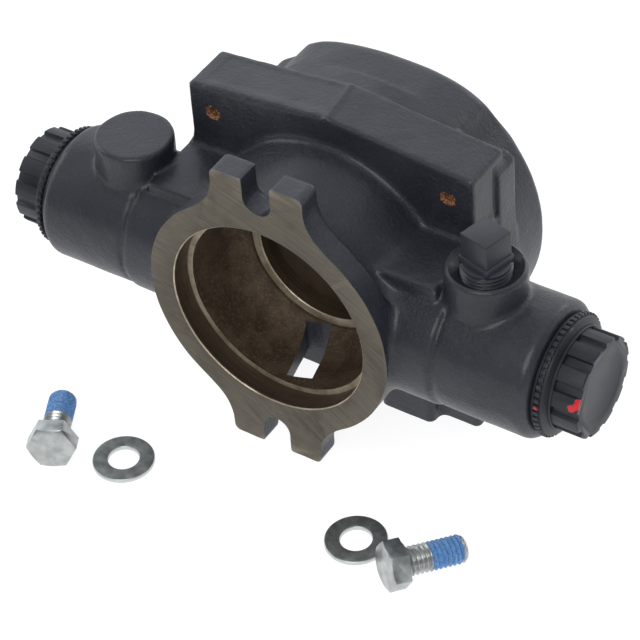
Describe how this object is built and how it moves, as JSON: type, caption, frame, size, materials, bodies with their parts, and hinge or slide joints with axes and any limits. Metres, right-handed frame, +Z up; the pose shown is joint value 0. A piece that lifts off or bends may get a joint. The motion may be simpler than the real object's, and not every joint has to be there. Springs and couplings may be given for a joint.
{
  "type": "internal gear pump",
  "caption": "Close-coupled internal gear pump with an open dry chamber at its machined motor face, side ports with thread protectors, a gauge plug and loose mounting bolts.",
  "frame": {"origin": "middle of the foot pad's underside, on the surface the pump stands on", "axes": "+Z up, -Y towards the motor, +X along the ports towards the port that has the gauge plug"},
  "size_m": [0.213, 0.1413, 0.1123],
  "materials": {
    "casting_paint": "satin paint over rough cast iron; front face machined bare",
    "gasket": "matt fibre",
    "steel": "machined",
    "carbon": "matt",
    "bronze": "machined",
    "ceramic": "lapped",
    "plug_plastic": "red plastic under dark overspray",
    "plug_paint": "satin paint",
    "zinc": "zinc plated, thread-locking patch",
    "washer_steel": "dull plated"
  },
  "bodies": {
    "pump": {"pump_body": "casting_paint", "rear_head": "casting_paint", "head_gasket": "gasket", "head_screw_1": "steel", "head_screw_2": "steel", "head_screw_3": "steel", "head_screw_4": "steel", "head_screw_5": "steel", "head_screw_6": "steel", "head_screw_7": "steel", "head_screw_8": "steel", "idler_pin": "steel", "shaft_bush": "bronze", "seal_seat": "ceramic"},
    "rotor": {"rotor": "steel", "pump_shaft": "steel", "rotor_key": "steel", "seal_face": "carbon", "seal_spring": "steel", "seal_collar": "bronze"},
    "idler": {"idler_gear": "steel", "idler_bush": "carbon"},
    "port_plug_left": {"port_plug_left": "plug_plastic"},
    "port_plug_right": {"port_plug_right": "plug_plastic"},
    "gauge_plug": {"gauge_plug": "plug_paint"},
    "mount_bolt_left": {"mount_bolt_left": "zinc"},
    "mount_bolt_right": {"mount_bolt_right": "zinc"},
    "mount_washer_left": {"mount_washer_left": "washer_steel"},
    "mount_washer_right": {"mount_washer_right": "washer_steel"}
  },
  "joints": [
    {"name": "rotor_spin", "type": "hinge", "parent": "pump", "child": "rotor", "pos_m": [0, 0, 0.0564], "axis": [0, 1, 0], "continuous": true},
    {"name": "idler_spin", "type": "hinge", "parent": "pump", "child": "idler", "pos_m": [0, 0, 0.06202], "axis": [0, 1, 0], "continuous": true},
    {"name": "port_plug_left_out", "type": "slide", "parent": "pump", "child": "port_plug_left", "axis": [-1, 0, 0], "range_m": [0, 0.03]},
    {"name": "port_plug_right_out", "type": "slide", "parent": "pump", "child": "port_plug_right", "axis": [1, 0, 0], "range_m": [0, 0.03]},
    {"name": "gauge_plug_out", "type": "slide", "parent": "pump", "child": "gauge_plug", "axis": [0, 0, 1], "range_m": [0, 0.025]},
    {"name": "mount_bolt_left_lift", "type": "slide", "parent": "pump", "child": "mount_bolt_left", "axis": [0, 0, 1], "range_m": [0, 0.03]},
    {"name": "mount_bolt_right_lift", "type": "slide", "parent": "pump", "child": "mount_bolt_right", "axis": [0, 0, 1], "range_m": [0, 0.03]},
    {"name": "mount_washer_left_lift", "type": "slide", "parent": "pump", "child": "mount_washer_left", "axis": [0, 0, 1], "range_m": [0, 0.03]},
    {"name": "mount_washer_right_lift", "type": "slide", "parent": "pump", "child": "mount_washer_right", "axis": [0, 0, 1], "range_m": [0, 0.03]}
  ],
  "couplings": [
    {"joint": "idler_spin", "follows": "rotor_spin", "ratio": 1.3333}
  ]
}
